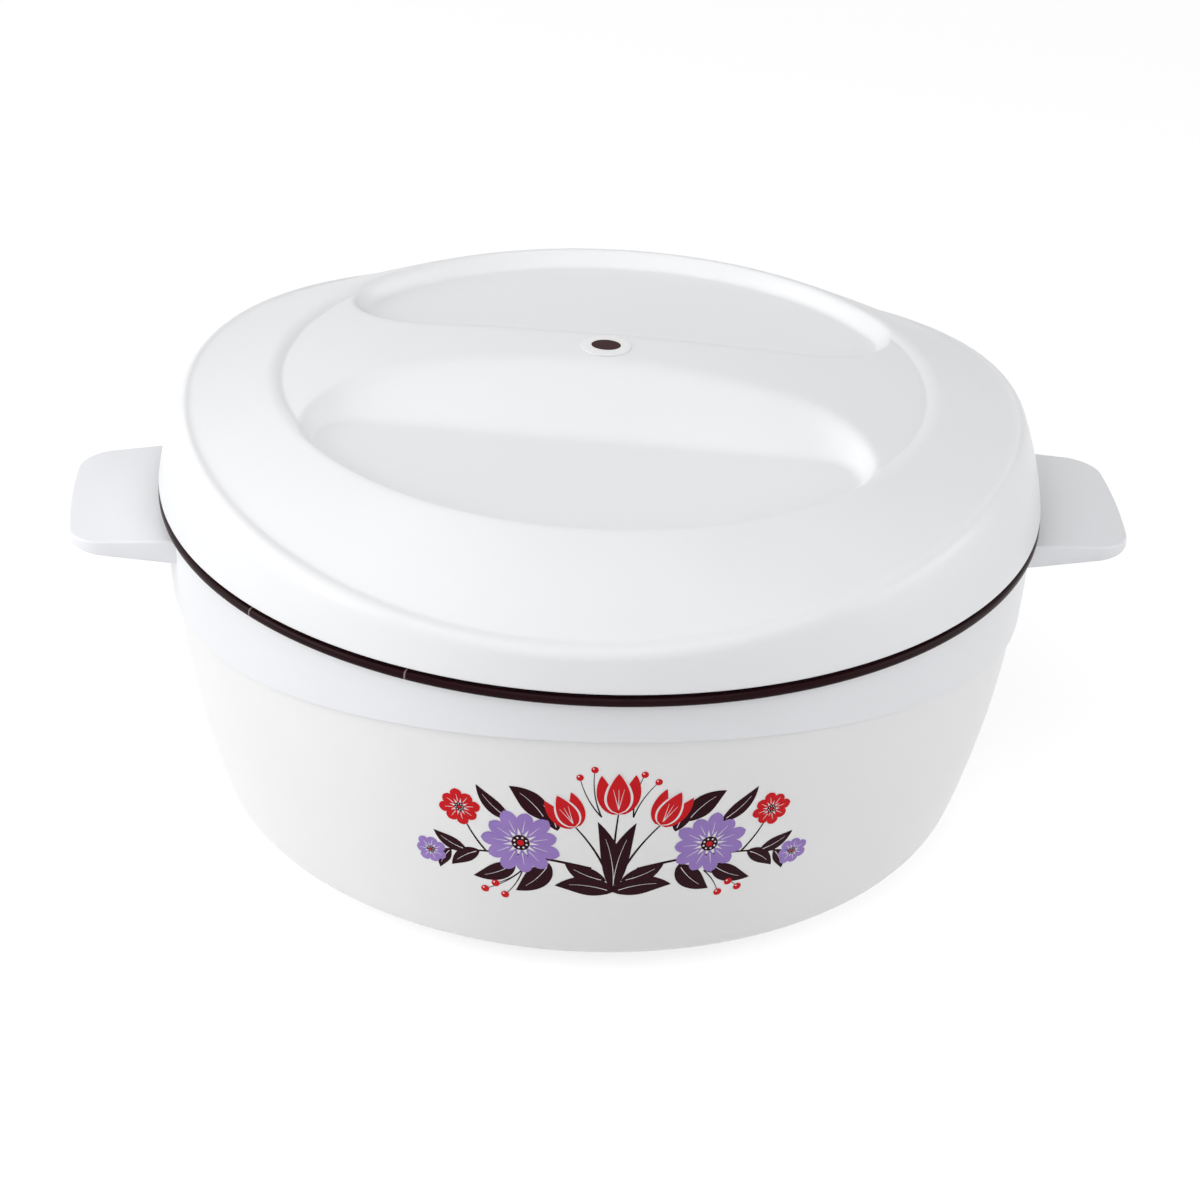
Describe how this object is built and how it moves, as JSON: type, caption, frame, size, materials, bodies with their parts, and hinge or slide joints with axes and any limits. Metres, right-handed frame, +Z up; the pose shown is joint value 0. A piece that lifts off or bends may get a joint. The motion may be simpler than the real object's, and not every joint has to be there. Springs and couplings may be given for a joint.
{
  "type": "insulated casserole",
  "caption": "Round insulated serving casserole for flat breads, with tab handles, a steel liner bowl and a lift-off domed lid with a raised grip.",
  "frame": {"origin": "centre of the foot, on the surface that the casserole stands on", "axes": "+Z up, out of the bowl's mouth; X along the two handles, so +Y is the back"},
  "size_m": [0.2828, 0.236, 0.1332],
  "materials": {
    "white_plastic": "satin gloss moulded",
    "liner_plastic": "smooth moulded",
    "plug_plastic": "moulded",
    "ring_plastic": "glossy dark maroon",
    "liner_steel": "spun and brushed",
    "foam": "rigid foam",
    "badge_plastic": "glossy label"
  },
  "bodies": {
    "base": {"outer_bowl": "white_plastic", "handle_collar": "white_plastic", "inner_bowl": "liner_steel", "bowl_foam": "foam", "bowl_fill_plug": "plug_plastic", "rim_ring": "ring_plastic"},
    "lid": {"lid_cover": "white_plastic", "lid_liner": "liner_plastic", "lid_foam": "foam", "lid_fill_plug": "plug_plastic", "grip_badge": "badge_plastic"}
  },
  "joints": [
    {"name": "lid_lift", "type": "slide", "parent": "base", "child": "lid", "axis": [0, 0, 1], "range_m": [0, 0.1]}
  ]
}
